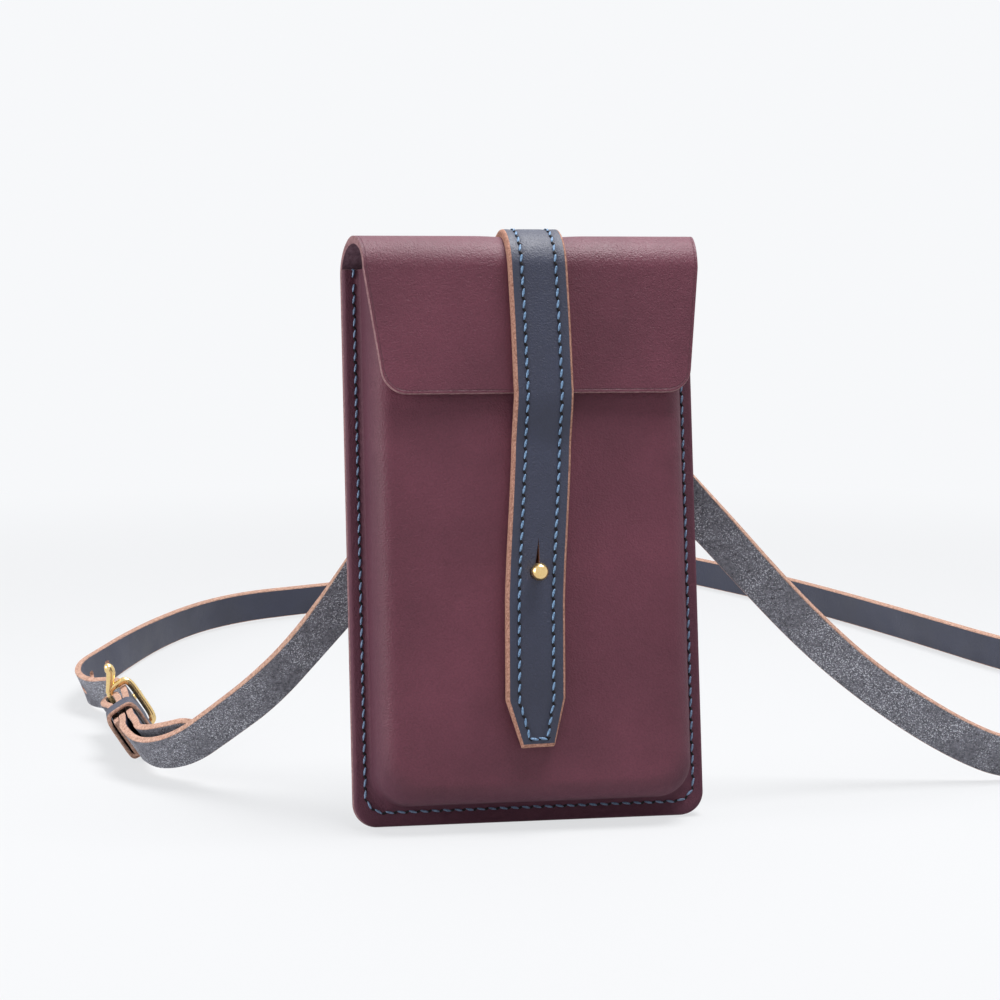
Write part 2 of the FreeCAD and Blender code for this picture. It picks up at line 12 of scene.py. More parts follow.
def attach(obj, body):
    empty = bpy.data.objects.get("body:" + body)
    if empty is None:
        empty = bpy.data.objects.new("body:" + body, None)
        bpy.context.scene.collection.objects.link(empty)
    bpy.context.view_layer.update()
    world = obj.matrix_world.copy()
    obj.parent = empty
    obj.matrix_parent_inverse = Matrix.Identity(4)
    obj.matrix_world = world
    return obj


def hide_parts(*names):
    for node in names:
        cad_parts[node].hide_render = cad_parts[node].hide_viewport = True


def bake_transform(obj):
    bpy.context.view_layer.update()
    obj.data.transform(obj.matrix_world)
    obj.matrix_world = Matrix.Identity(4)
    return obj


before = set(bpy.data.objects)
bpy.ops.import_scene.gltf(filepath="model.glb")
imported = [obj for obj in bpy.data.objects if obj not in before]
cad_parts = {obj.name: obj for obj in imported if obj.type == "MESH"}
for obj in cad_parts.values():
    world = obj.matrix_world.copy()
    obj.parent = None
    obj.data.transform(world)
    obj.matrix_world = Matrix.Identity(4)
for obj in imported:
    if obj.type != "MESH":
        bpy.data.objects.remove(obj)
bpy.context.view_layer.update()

mm = 0.001

# Camera, at the photograph's viewing angle
camera_place = (-0.1383, -0.676, 0.1698)
camera_yaw = radians(10.81)
camera_pitch = radians(6.53)
camera_roll = radians(0.29)
camera_lens = 90
camera_sensor = 36
camera_near = 0.01

# Pouch body
lean = radians(9.5)
half_width = 50 * mm
leather = 2.2 * mm
front_top = 155.7 * mm
box_depth = 15.5 * mm
outline_corner = 6.5 * mm
flange_side = 5.4 * mm
flange_bottom = 5.9 * mm
box_corner = 9.5 * mm
edge_bulge = 0.3 * mm

# Flap
bend_radius = 10.15 * mm
bend_y = -7.95 * mm
bend_z = 154.25 * mm
flap_bottom = 119.4 * mm
flap_bend_taper = 2.7 * mm
flap_front_taper = 4.4 * mm
flap_skew_bend = 1.2 * mm
flap_skew_low = 2.1 * mm
flap_corner = 6 * mm
flap_dip = 0.25 * mm
flap_dip_reach = 4 * mm
rim_scale = 5 * mm
closure_sink = 1.3 * mm

# Closure strap and the belt loop that it becomes behind
closure_half = 8.25 * mm
closure_thickness = 3.2 * mm
closure_bevel = (0.75 * mm, 1.2 * mm)
closure_row = 3.45 * mm
tip_row = 2.5 * mm
tip_bevel_share = 0.55
tip_round = 0.75 * mm
tip_drop_share = 0.45
loop_bottom = 80 * mm
loop_top = 153.45 * mm
loop_land = 8 * mm
loop_ramp = 8 * mm
loop_standoff = 8 * mm
settle_top = 119.2 * mm
settle_bottom = 104.1 * mm
tail_y = -15.8 * mm
taper_start = 34.5 * mm
tip_height = 21.3 * mm
tip_half = 4.45 * mm
stud_height = 69.5 * mm
slit_length = 7.4 * mm
slit_half = 0.6 * mm
keyhole_half = 2.1 * mm

# Stitching
stitch_pitch = 3.2 * mm
stitch_length = 2.45 * mm
stitch_radius = 0.32 * mm
stitch_slant = radians(-13)
seam_side = 3.0 * mm
seam_bottom = 3.9 * mm
seam_corner = 5.6 * mm
seam_start = 3.5 * mm
seam_bed = 0.06 * mm
stitch_bed = 0.05 * mm
stitch_dip = (0.28 * mm, 0.8 * mm)
stitch_end_share = 0.03
ply_swell = 0.14
ply_twist = 5
needle_depth = 0.12 * mm
needle_length = 1.45 * mm
needle_radius = 0.38 * mm
needle_slant = stitch_slant * -2.4
needle_flat = 0.6

# Shoulder strap
strap_half = 6.5 * mm
strap_thickness = 2.15 * mm
strap_bevel = (0.45 * mm, 0.5 * mm)
hole_half_length = 3.0 * mm
hole_half_width = 1.4 * mm
hole_pitch = 22.5 * mm
holes_past = 1
hole_count = 6
hole_end_round = 7 * mm
pared_length = 14 * mm
pared_width_share = 0.03
pared_depth_share = 0.15
prong_slot = (4.6 * mm, 1.7 * mm)
prong_angle = radians(30)
fold_reach = 2.8 * mm
fold_stitches = 4
fold_pitch = 2.6 * mm
buckle_tip = radians(33)
heel_centre = array([-108.948, 134.0, 7.975]) * mm
across = array([cos(buckle_tip), 0, sin(buckle_tip)])
upward = array([-sin(buckle_tip), 0, cos(buckle_tip)])
backward = array([0, 1, 0])
fold_stitch_place = array([-108.66, 109.6, 8.17]) * mm - across * (1.22 * mm)

# Route of the shoulder strap: place in millimetres, and the lean of its upper edge to -X and to +Y
# in degrees.
route_steps = 14
route_units = array([mm, mm, mm, 1, 1])
buckle_end_route = route_units * array([
    (-108.66, 90.5, 8.17, 33, 0), (-108.66, 117, 8.17, 33, 0), (-111.3, 129, 6.45, 33, 0),
    (-111.3, 136.8, 6.45, 33, 0), (-106.6, 136.8, 9.5, 33, 0), (-106.6, 88, 9.5, 33, 0),
    (-107.5, 79.1, 9.5, 33, -20), (-102.8, 69.2, 7.6, 36, -34), (-93.4, 58.9, 11.2, 23.5, -35),
    (-83.3, 50.3, 20.2, 10, -34.5), (-70.75, 40.9, 31.85, 1, -30.5),
    (-58.1, 33.3, 47.3, -2.5, -31.5), (-46.1, 26.2, 64.3, -1.5, -18.5), (-34.6, 21.5, 82.5, 0, 4),
    (-22.6, 21.4, 102.2, 0, 9.5), (-6, 23.2, 113.3, 0, 9.5), (4, 23.45, 114.65, 0, 9.5),
])
hole_end_route = route_units * array([
    (4, 23.45, 114.65, 0, 9.5), (14, 23.7, 116, 0, 9.5), (31, 23.2, 108, 0, 9.5),
    (45.05, 24.3, 93.2, 0.5, -10), (59.4, 23.4, 78.5, 0.5, -22.5), (73.4, 24.2, 63.4, 0, -26.5),
    (88, 25.1, 48.6, 0, -27), (103.4, 26.3, 35.1, 0, -29), (119.7, 25.9, 23.4, 0, -23),
    (137.2, 25.4, 12.9, 0, -20), (151.8, 24.2, 6.9, 0, -16), (167.6, 28.4, 6.85, 0, -14),
    (186, 36, 6.8, 0, -12), (204, 47, 6.75, 0, -12), (219, 65, 6.75, 0, -12),
    (229, 88, 6.75, 0, -12), (234.5, 115, 6.75, 0, -12), (235.5, 141, 6.75, 0, -12),
    (229.6, 167.9, 6.8, 4, -13), (220, 199.9, 6.8, 9, -14), (212.5, 241.5, 6.8, 10.5, -14),
    (204.3, 285.3, 6.8, 10.5, -14), (194.7, 329.1, 6.8, 8, -14), (183.8, 372, 6.8, 6.5, -14),
    (169.8, 411.6, 6.8, 7.5, -15), (156.3, 446.7, 6.8, 5, -14), (140, 473.3, 6.8, 1.5, -12.5),
    (115, 484, 6.75, 0, -12), (87, 474, 6.75, 0, -12), (65, 450, 6.75, 0, -12),
    (44, 424, 6.75, 0, -12), (22, 398.5, 6.85, -1, -15), (-2, 379.5, 7, -3, -19),
    (-26.3, 366.9, 7, -3.5, -19), (-49.6, 352.9, 7.2, -3, -16), (-70.6, 328.5, 7.2, -6, -15.5),
    (-88.2, 294.4, 6.9, -3, -13), (-102.4, 256, 6.85, 5, -7), (-112.7, 222.7, 6.8, 10.5, -3),
    (-119.2, 199.8, 7.2, 13, -2), (-119.6, 182.2, 6.9, 24, -4), (-114.4, 170.1, 7.2, 40, -6),
    (-107.5, 160.5, 9.3, 36, -3), (-104.55, 143.5, 10.83, 33, 0), (-104.55, 88, 10.83, 33, 0),
    (-103.7, 80.8, 12.2, 33, -19), (-102.1, 70.3, 10.5, 40, -32), (-86.7, 58.1, 16.9, 18, -34),
])

# Stage and light
backdrop_colour = (0.93, 0.94, 0.957)
floor_colour = (0.53, 0.534, 0.543)
floor_bounce = (0.68, 0.68, 0.685)
floor_reach = 6.0
floor_drop = 0.4 * mm
floor_middle = (0.05, 0.15, 0)
sky_colour = (0.96, 0.975, 1.0)


# Shapes

tiny = 1e-15
merge_distance = 0.002 * mm


def stand(x, y, z):
    """A place or direction of the pouch in the frame: leaned back by one angle about the foot."""
    x, y, z = np.broadcast_arrays(x, y, z)
    back = y * cos(lean) + z * sin(lean)
    return stack([x, back, z * cos(lean) - y * sin(lean)], -1)


def unit(vectors):
    """The same directions at length 1; a vector of no length stays so."""
    return vectors / maximum(np.linalg.norm(vectors, axis=-1, keepdims=True), tiny)


def square_to(vectors, heading):
    """The part of vectors that is square to a heading, at length 1."""
    return unit(vectors - heading * np.sum(vectors * heading, -1, keepdims=True))


def bump(value, centre, width):
    """A bell curve of height 1."""
    return np.exp(-((value - centre) / width) ** 2)


def eased(value, start, end):
    """0 before start, 1 after end, and a smooth step between."""
    share = clip((value - start) / (end - start), 0, 1)
    return share * share * (3 - 2 * share)


def superellipse(turn, power):
    """Both coordinates of a rounded square of half size 1: cosine and sine, raised to a power."""
    return [np.sign(part) * np.abs(part) ** power for part in (cos(turn), sin(turn))]


def numbered(rows, columns, closed=False, looped=False):
    """Vertex numbers in a grid. closed repeats its first column last, looped its first row."""
    index = arange(rows * columns).reshape(rows, columns)
    if closed:
        index = chain([index, index[:, :1]], 1)
    return chain([index, index[:1]]) if looped else index


def grid_faces(index):
    """Quads between neighbouring rows and columns of a grid of vertex numbers."""
    corners = [index[:-1, :-1], index[:-1, 1:], index[1:, 1:], index[1:, :-1]]
    return stack(corners, -1).reshape(-1, 4)


def add_object(name, data, axes=None, place=None):
    """An object in the scene: at the origin, or at a place with these columns as its axes."""
    made = bpy.data.objects.new(name, data)
    if axes is not None:
        matrix = np.eye(4)
        matrix[:3, :3] = axes
        matrix[:3, 3] = place
        made.matrix_world = Matrix(matrix.tolist())
    bpy.context.scene.collection.objects.link(made)
    return made


def piece(name, points, faces, materials, finish=None, fields=None, crease=40):
    """A mesh object of points and quads: doubles merged, faces outwards, smooth between creases."""
    mesh = bpy.data.meshes.new(name)
    mesh.from_pydata(points.reshape(-1, 3).tolist(), [], faces.tolist())
    for material in materials:
        mesh.materials.append(material)
    if finish is not None:
        mesh.polygons.foreach_set("material_index", finish.astype(np.int32))
    for field, values in (fields or {}).items():
        attribute = mesh.attributes.new(field, "FLOAT", "POINT")
        attribute.data.foreach_set("value", values.ravel().astype(np.float32))
    shell = bmesh.new()
    shell.from_mesh(mesh)
    bmesh.ops.remove_doubles(shell, verts=shell.verts, dist=merge_distance)
    bmesh.ops.recalc_face_normals(shell, faces=shell.faces)
    shell.to_mesh(mesh)
    shell.free()
    mesh.polygons.foreach_set("use_smooth", ones(len(mesh.polygons), bool))
    mesh.set_sharp_from_angle(angle=radians(crease))
    return add_object(name, mesh)


def slab(outer, inner, path, closed):
    """A sheet from its outer and inner grids, with a rim that bulges between their borders.

    path holds the border's vertex numbers in order. The rim's points lie on straight lines from the
    outer border to the inner one, pushed outwards by a parabola of the share between them.
    """
    count = outer.shape[0] * outer.shape[1]
    index = numbered(*outer.shape[:2])
    first = outer.reshape(-1, 3)[path]
    last = inner.reshape(-1, 3)[path]
    if closed:
        tangent = np.roll(first, -1, 0) - np.roll(first, 1, 0)
    else:
        tangent = gradient(first, axis=0)
    outward = unit(cross(tangent, first - last))
    middle = outer.reshape(-1, 3).mean(0)
    outward *= np.sign(np.sum((first - middle) * outward))
    shares = linspace(0, 1, 6)[1:-1, None, None]
    rim = first + (last - first) * shares + outward * (edge_bulge * 4 * shares * (1 - shares))
    loops = count * 2 + numbered(len(rim), len(path))
    loops = chain([path[None], loops, path[None] + count])
    if closed:
        loops = chain([loops, loops[:, :1]], 1)
    parts = [grid_faces(index), grid_faces(index)[:, ::-1] + count, grid_faces(loops)]
    finish = repeat([0, 2, 1], [len(part) for part in parts])
    points = chain([outer.reshape(-1, 3), inner.reshape(-1, 3), rim.reshape(-1, 3)])
    return points, chain(parts), finish


def strap(name, line, section, materials, opening=0.0, sink=0.0, raw=False, narrow=1.0, dips=()):
    """A flat strap: half a cross-section on each side of a middle line, with openings along it.

    line is (centre, across, out, half width) along the strap. Each column of the section stands at
    opening + share * (half width - inset - opening) across and at its lift above the centre, less
    a bell-shaped dip at each row of stitches. Walls join both faces where the strap is open. Along
    the strap, sink lowers the top face, raw leaves it undyed and narrow scales the bevel.
    """
    centre, side, out, half = line
    share, inset, lift, kind = section
    rows, columns = len(centre), len(share)
    opening, sink, raw, narrow = (value + zeros(rows) for value in (opening, sink, raw, narrow))
    reach = half[:, None] - inset * narrow[:, None] - opening[:, None]
    across_by = opening[:, None] + share * reach
    lifts = repeat(lift[None], rows, 0)
    for dip_inset, depth, width in dips:
        lifts = lifts - (kind == 0) * depth * bump(half[:, None] - across_by, dip_inset, width)
    lifts = lifts - sink[:, None] * (lift - lift.min()) / np.ptp(lift)
    points = [centre[:, None] + side[:, None] * (sign * across_by)[..., None]
              + out[:, None] * lifts[..., None] for sign in (1, -1)]
    index = numbered(rows, columns)
    open_rows = (opening[:-1] > 0) | (opening[1:] > 0)
    wall = stack([index[:-1, 0], index[1:, 0], index[1:, -1], index[:-1, -1]], -1)[open_rows]
    pair = columns // 2
    caps = [stack([row[:pair - 1], row[1:pair], row[::-1][1:pair], row[::-1][:pair - 1]], -1)
            for row in (index[0], index[-1])]
    half_faces = chain([grid_faces(index), wall, caps[0], caps[1]])
    gap_kind = where(kind[1:] == kind[:-1], kind[1:], 1)
    finish = where(raw[1:, None] > 0, 1, gap_kind[None])
    extra = ones(len(half_faces) - finish.size, int)
    finish = chain([finish.ravel(), extra])
    faces = chain([half_faces, half_faces[:, ::-1] + rows * columns])
    return piece(name, chain(points), faces, materials, chain([finish, finish]))


def strap_section(thickness, bevel, rise, face_columns=9):
    """Columns of half a strap's section: its top face, a rounded bevel, the edge and the back face.

    The bevel is a quarter ellipse, bevel wide and rise high. Lifts run from 0 to the thickness.
    """
    turn = linspace(0, pi / 2, 6)[1:]
    top = linspace(0, 1, face_columns)
    share = chain([top, ones(len(turn) + 2), top[::-1]])
    small = 0.2 * mm
    inset = chain([np.full(face_columns, bevel), bevel * (1 - sin(turn)), [0, 0],
                   np.full(face_columns, small)])
    lift = chain([np.full(face_columns, thickness), thickness - rise * (1 - cos(turn)),
                  [thickness / 2, small], zeros(face_columns)])
    kind = chain([zeros(face_columns), ones(len(turn) + 2), np.full(face_columns, 2)])
    return share, inset, lift, kind.astype(int)


def thread(name, centres, along, out, material, length=stitch_length, radius=stitch_radius,
           slant=stitch_slant, flat=1.0):
    """Stitches: slim bodies of revolution, thin at the ends, with a two-ply twist in the radius."""
    along = unit(along)
    sideways = cross(out, along)
    lay = along * cos(slant) + sideways * sin(slant)
    across_lay = cross(out, lay)
    run = linspace(-1, 1, 8)[:, None]
    turn = linspace(0, 2 * pi, 9)[None, :-1]
    taper = sqrt(clip(1 - run ** 4, stitch_end_share, 1))
    girth = radius * taper * (1 + ply_swell * cos(2 * turn - ply_twist * run))
    offsets = stack(np.broadcast_arrays(run * length / 2, girth * cos(turn),
                                        girth * sin(turn) * flat), -1)
    axes = stack([lay, across_lay, out], 1)
    points = centres[:, None, None] + np.einsum("rck,nkd->nrcd", offsets, axes)
    rows, columns = offsets.shape[:2]
    ring = numbered(rows, columns, closed=True)
    caps = array([[0, 1, 2, 3], [0, 3, 4, 5], [0, 5, 6, 7]])
    base = chain([grid_faces(ring), caps, caps + (rows - 1) * columns])
    faces = (base[None] + (arange(len(centres)) * rows * columns)[:, None, None]).reshape(-1, 4)
    return piece(name, points, faces, [material], crease=80)


def lathe(name, radii, heights, place, axis, material):
    """A body of revolution: each radius at its height along an axis."""
    axis = unit(np.asarray(axis, float))
    side = unit(cross(axis, (1.0, 0.3, 0.2)))
    turn = linspace(0, 2 * pi, 49)[:-1]
    ring = side * cos(turn)[:, None] + cross(axis, side) * sin(turn)[:, None]
    points = place + ring[None] * radii[:, None, None] + axis * heights[:, None, None]
    return piece(name, points, grid_faces(numbered(*points.shape[:2], closed=True)), [material])


def smooth_line(points):
    """Points read from the quadratic NURBS spline that has these control points."""
    curve = bpy.data.curves.new("route", "CURVE")
    curve.dimensions = "3D"
    curve.resolution_u = route_steps
    spline = curve.splines.new("NURBS")
    spline.points.add(len(points) - 1)
    spline.points.foreach_set("co", column_stack([points, ones(len(points))]).ravel())
    spline.order_u = 3
    spline.use_endpoint_u = True
    carrier = bpy.data.objects.new("route", curve)
    mesh = bpy.data.meshes.new_from_object(carrier)
    line = np.empty(len(mesh.vertices) * 3)
    mesh.vertices.foreach_get("co", line)
    bpy.data.objects.remove(carrier)
    bpy.data.curves.remove(curve)
    bpy.data.meshes.remove(mesh)
    return line.reshape(-1, 3)


def distances(line):
    """Distance along a line of points from its start."""
    return chain([[0], np.cumsum(np.linalg.norm(np.diff(line, axis=0), axis=1))])


def sampled(rows, run, values):
    """Values along a line at other distances, by straight interpolation of each column."""
    return stack([np.interp(rows, run, column) for column in values.T], -1)


# Materials

def add_node(tree, kind, values=None, **settings):
    """A new node with its settings, and values for its inputs by name or number."""
    made = tree.nodes.new(kind)
    for key, value in settings.items():
        setattr(made, key, value)
    for key, value in (values or {}).items():
        made.inputs[key].default_value = value
    return made


class Finish:
    """A procedural material: a Principled shader, object coordinates and a few node shorthands."""

    def __init__(self, name, roughness, metallic=0.0, specular=0.5):
        self.material = bpy.data.materials.new(name)
        self.material.use_nodes = True
        self.tree = self.material.node_tree
        self.shader = self.tree.nodes["Principled BSDF"]
        self.shader.inputs["Roughness"].default_value = roughness
        self.shader.inputs["Metallic"].default_value = metallic
        self.shader.inputs["Specular IOR Level"].default_value = specular
        self.place = self.node("ShaderNodeTexCoord").outputs["Object"]

    def node(self, kind, values=None, **settings):
        return add_node(self.tree, kind, values, **settings)

    def link(self, output, target):
        self.tree.links.new(output, target)

    def noise(self, scale, detail=3.0, roughness=0.55, stretch=None):
        made = self.node("ShaderNodeTexNoise",
                         {"Scale": scale, "Detail": detail, "Roughness": roughness})
        source = self.place
        if stretch:
            mapping = self.node("ShaderNodeMapping", {"Scale": stretch})
            self.link(self.place, mapping.inputs["Vector"])
            source = mapping.outputs["Vector"]
        self.link(source, made.inputs["Vector"])
        return made.outputs["Fac"]

    def cells(self, scale):
        made = self.node("ShaderNodeTexVoronoi", {"Scale": scale})
        self.link(self.place, made.inputs["Vector"])
        return made.outputs["Distance"]

    def ramp(self, value, *stops):
        made = self.node("ShaderNodeValToRGB")
        elements = made.color_ramp.elements
        while len(elements) < len(stops):
            elements.new(0.5)
        for element, (position, colour) in zip(elements, stops):
            element.position = position
            element.color = (*colour, 1) if np.ndim(colour) else (colour, colour, colour, 1)
        self.link(value, made.inputs["Fac"])
        return made.outputs["Color"]

    def mix(self, share, first, second, blend="MIX"):
        made = self.node("ShaderNodeMix", data_type="RGBA", blend_type=blend)
        for value, number in ((share, 0), (first, 6), (second, 7)):
            target = made.inputs[number]
            if hasattr(value, "is_output"):
                self.link(value, target)
            else:
                target.default_value = (*value, 1) if np.ndim(value) else value
        return made.outputs[2]

    def field(self, name):
        return self.node("ShaderNodeAttribute", attribute_name=name).outputs["Fac"]

    def colour(self, output):
        self.link(output, self.shader.inputs["Base Color"])

    def rough(self, output):
        self.link(output, self.shader.inputs["Roughness"])

    def relief(self, *layers):
        """Bump nodes in a chain: each layer is a height and its depth in metres."""
        last = None
        for height, depth in layers:
            made = self.node("ShaderNodeBump", {"Distance": depth})
            self.link(height, made.inputs["Height"])
            if last:
                self.link(last, made.inputs["Normal"])
            last = made.outputs["Normal"]
        self.link(last, self.shader.inputs["Normal"])


def grain_leather(name, dark, light, crease=False, pressed_and_shade=False, specular=0.34):
    """Smooth dyed leather: soft clouds of dye, fine grain, and darkened moulding with painted
    shade.

    crease draws a creased groove near the edge of the flap. The other flag darkens the moulded
    flange and the box's foot: leather darkened by moulding, and painted shade deepest below.
    """
    finish = Finish(name, 0.42, specular=specular)
    clouds = finish.ramp(finish.noise(34, 4), (0.3, dark), (0.72, light))
    grain = finish.noise(1900, 3, 0.6)
    colour = finish.mix(0.6, clouds, finish.ramp(grain, (0.3, 0.66), (0.62, 1.0)), "MULTIPLY")
    wrinkle = finish.noise(800, 3, 0.6, (1.0, 1.0, 0.6))
    layers = [(wrinkle, 0.12 * mm), (grain, 0.15 * mm), (finish.cells(2100), 0.06 * mm)]
    if crease:
        groove = finish.ramp(finish.field("rim"), (0.0, 1.0), (0.09, 1.0), (0.135, 0.3),
                             (0.18, 1.0))
        colour = finish.mix(groove, finish.mix(0.5, colour, (0.012, 0.004, 0.006)), colour)
        layers.append((groove, 0.12 * mm))
    if pressed_and_shade:
        wrinkles = finish.ramp(finish.noise(420, 5, 0.65), (0.2, 0.62), (0.6, 1.0))
        share = finish.mix(1.0, finish.field("pressed_and_shade"), wrinkles, "MULTIPLY")
        # dark colour of moulded leather, and painted shade that is deepest below
        colour = finish.mix(share, colour, (0.070, 0.020, 0.036))
    finish.colour(colour)
    polish = finish.ramp(finish.noise(60, 4), (0.25, 0.44), (0.75, 0.58))
    finish.rough(finish.mix(share, polish, (0.8, 0.8, 0.8)) if pressed_and_shade else polish)
    finish.relief(*layers)
    return finish.material


def fibre_leather(name, dark, light, scale=900):
    """Cut or flesh-side leather: matt, with short pale fibres."""
    finish = Finish(name, 0.85, specular=0.25)
    fibres = finish.noise(scale, 5, 0.7)
    finish.colour(finish.ramp(fibres, (0.32, dark), (0.68, light)))
    finish.relief((fibres, 0.18 * mm))
    return finish.material


def speckled_flesh(name):
    """The strap's rough side: dark grey, with clouds of pale worn fibres."""
    finish = Finish(name, 0.8, specular=0.3)
    base = finish.ramp(finish.noise(900, 4, 0.7), (0.3, (0.054, 0.055, 0.066)),
                       (0.7, (0.215, 0.216, 0.256)))
    flecks = finish.ramp(finish.noise(2300, 2, 0.6), (0.53, 0.0), (0.64, 1.0))
    patches = finish.ramp(finish.noise(90, 3, 0.6), (0.36, 0.12), (0.6, 1.0))
    share = finish.mix(1.0, flecks, patches, "MULTIPLY")
    finish.colour(finish.mix(share, base, (0.60, 0.62, 0.68)))
    finish.relief((finish.noise(1100, 4, 0.7), 0.22 * mm))
    return finish.material


def waxed_thread(name, dark, light):
    """Waxed linen thread: slightly glossy, with fine variation along it."""
    finish = Finish(name, 0.5)
    strands = finish.noise(2600, 2)
    finish.colour(finish.ramp(strands, (0.3, dark), (0.7, light)))
    finish.relief((strands, 0.06 * mm))
    return finish.material


def polished_brass(name):
    """Brass with faint scratches and slight tarnish."""
    finish = Finish(name, 0.2, metallic=1.0)
    tarnish = finish.noise(180, 4, 0.6)
    finish.colour(finish.ramp(tarnish, (0.25, (0.70, 0.47, 0.18)), (0.75, (0.90, 0.70, 0.36))))
    scratches = finish.noise(900, 4, 0.7, stretch=(1, 6, 1))
    finish.rough(finish.ramp(scratches, (0.3, 0.14), (0.75, 0.34)))
    finish.relief((scratches, 0.008 * mm))
    return finish.material


dye_dark, dye_light = (0.090, 0.0208, 0.0365), (0.135, 0.034, 0.057)
# the moulded front carries painted shade on its flange and the foot of its box
burgundy_front = grain_leather("burgundy_grain_moulded", dye_dark, dye_light, pressed_and_shade=True)
burgundy_flap = grain_leather("burgundy_grain_creased", dye_dark, dye_light, crease=True)
burgundy_edge = fibre_leather("burgundy_cut_edge", (0.14, 0.066, 0.075), (0.29, 0.165, 0.172))
burgundy_flesh = fibre_leather("burgundy_flesh_side", (0.080, 0.040, 0.058), (0.160, 0.090, 0.118))
navy = grain_leather("navy_grain", (0.010, 0.013, 0.035), (0.020, 0.025, 0.057), specular=0.58)
closure_edge = fibre_leather("closure_cut_edge", (0.17, 0.070, 0.045), (0.52, 0.29, 0.22), 1500)
tan_edge = fibre_leather("strap_cut_edge", (0.24, 0.125, 0.088), (0.60, 0.385, 0.30), 1300)
navy_back = fibre_leather("navy_flesh_side", (0.030, 0.028, 0.032), (0.085, 0.078, 0.080))
flesh = speckled_flesh("strap_flesh_side")
seam_blue = waxed_thread("seam_thread_blue", (0.06, 0.10, 0.17), (0.19, 0.28, 0.43))
strap_blue = waxed_thread("strap_thread_blue", (0.060, 0.120, 0.22), (0.20, 0.34, 0.53))
# near-black colour that paints the shade inside the needle holes
needle_hole_shade = fibre_leather("needle_hole_painted_shade", (0.004, 0.003, 0.004), (0.012, 0.010, 0.012))
brass = polished_brass("polished_brass")


# Pouch body

def rounded_u(half, low, radius, top, side, turn, floor):
    """x and z of a U with round corners in five parts: down, a corner, the floor, a corner and up.

    side goes from 0 to 1 along the straight sides, turn over a quarter circle, floor from -1 to 1.
    """
    x = [-half + 0 * side, radius - half - radius * cos(turn), floor * (half - radius),
         half - radius + radius * sin(turn), half + 0 * side]
    z = [top + (low + radius - top) * side, low + radius - radius * sin(turn), low + 0 * floor,
         low + radius - radius * cos(turn), low + radius + (top - low - radius) * side]
    return x, z


def u_rings(inset, height, top):
    """Rings of points on the front: down a side, round a corner, along the bottom and up again.

    Each ring is the panel's outline moved inwards by its inset, at its height in front of the
    mating plane. The corner's radius goes from the outline's to the moulded box's, and shrinks to
    nothing at the middle line.
    """
    half = (half_width - inset)[:, None]
    low = inset[:, None] * (flange_bottom / flange_side)
    low = minimum(low, inset[:, None] + flange_bottom - flange_side)
    share = eased(inset, 0, flange_side)[:, None]
    radius = minimum(outline_corner + (box_corner - outline_corner) * share, half)
    side = linspace(0, 1, 60)[None]
    turn = linspace(0, pi / 2, 14)[None]
    floor = linspace(-1, 1, 44)[None]
    both = rounded_u(half, low, radius, top, side, turn, floor)
    x, z = (chain([parts[0]] + [part[:, 1:] for part in parts[1:]], 1) for parts in both)
    return stand(x, -height[:, None], z)


def front_profile():
    """Inset and height of the front's outside, from its edge to its middle.

    A rounded edge, a flange that dips along the seam, a concave fillet, a drafted wall, a shoulder
    that is a quarter of an ellipse, and a face with a parabola's crown.
    """
    edge = linspace(0, pi / 2, 7)[1:]
    edge_radius = 0.9 * mm
    fillet = linspace(0, pi / 2, 9)[1:]
    fillet_radius = 1.3 * mm
    fillet_start = 3.7 * mm
    shoulder = linspace(0, pi / 2, 20)[1:]
    shoulder_width = 6.2 * mm
    wall_foot = (5.2 * mm, 6.0 * mm)
    wall_top = (5.5 * mm, 8.4 * mm)
    face_start = (wall_top[0] + shoulder_width, 14.65 * mm)
    crown = 0.85 * mm
    setback, bead = 0.12 * mm, 0.3 * mm
    groove_depth, groove_at, groove_width = 0.16 * mm, 3.3 * mm, 0.8 * mm
    flat = linspace(edge_radius, fillet_start, 14)[1:]
    face = linspace(face_start[0], half_width, 22)[1:]
    inset = chain([
        [setback, 0, 0], edge_radius * (1 - cos(edge)), flat,
        fillet_start + fillet_radius * sin(fillet), [wall_foot[0], wall_top[0]],
        face_start[0] - shoulder_width * cos(shoulder), face])
    height = chain([
        [0, bead, leather - edge_radius], leather - edge_radius * (1 - sin(edge)),
        leather - groove_depth * bump(flat, groove_at, groove_width),
        leather + fillet_radius * (1 - cos(fillet)), [wall_foot[1], wall_top[1]],
        wall_top[1] + (face_start[1] - wall_top[1]) * sin(shoulder),
        face_start[1] + crown * (1 - ((half_width - face) / (half_width - face_start[0])) ** 2)])
    return inset, height


def moulded_front():
    """The front panel: rings of its outside and of its lining, joined by a rim all round."""
    inset, height = front_profile()
    lining = array([(0.12, 0), (6.5, 0), (7.5, 1.2), (8.5, 8.0), (10.4, 11.2), (14, 12.9),
                    (19, 13.2), (50, 13.3)]) * mm
    run = distances(column_stack([inset, height]))
    lining_run = distances(lining)
    inside = sampled(run / run[-1] * lining_run[-1], lining_run, lining)
    outer = u_rings(inset, height, front_top)
    inner = u_rings(inside[:, 0], inside[:, 1], front_top)
    index = numbered(*outer.shape[:2])
    path = chain([index[::-1, 0], index[0, 1:], index[1:, -1]])
    points, faces, finish = slab(outer, inner, path, False)
    # darkening of moulded leather plus painted shade, kept as a point field
    pressed_and_shade = pressed_and_shade_share(inset, outer)
    fields = chain([pressed_and_shade.ravel(), zeros(len(points) - pressed_and_shade.size)])
    return piece("moulded_front", points, faces, [burgundy_front, burgundy_edge, burgundy_flesh],
                 finish, {"pressed_and_shade": fields})


def pressed_and_shade_share(inset, outer):
    """Darkening on the flange and the box's foot: moulded leather, plus painted shade most below.
    """
    # painted shade: darker towards the bottom of the pouch
    below = 1 - eased(outer[..., 2], 9 * mm, 30 * mm)
    flange = 1 - eased(inset[:, None], 5.2 * mm, (9.0 + 3.5 * below) * mm)
    return flange * (0.72 + 0.28 * below)


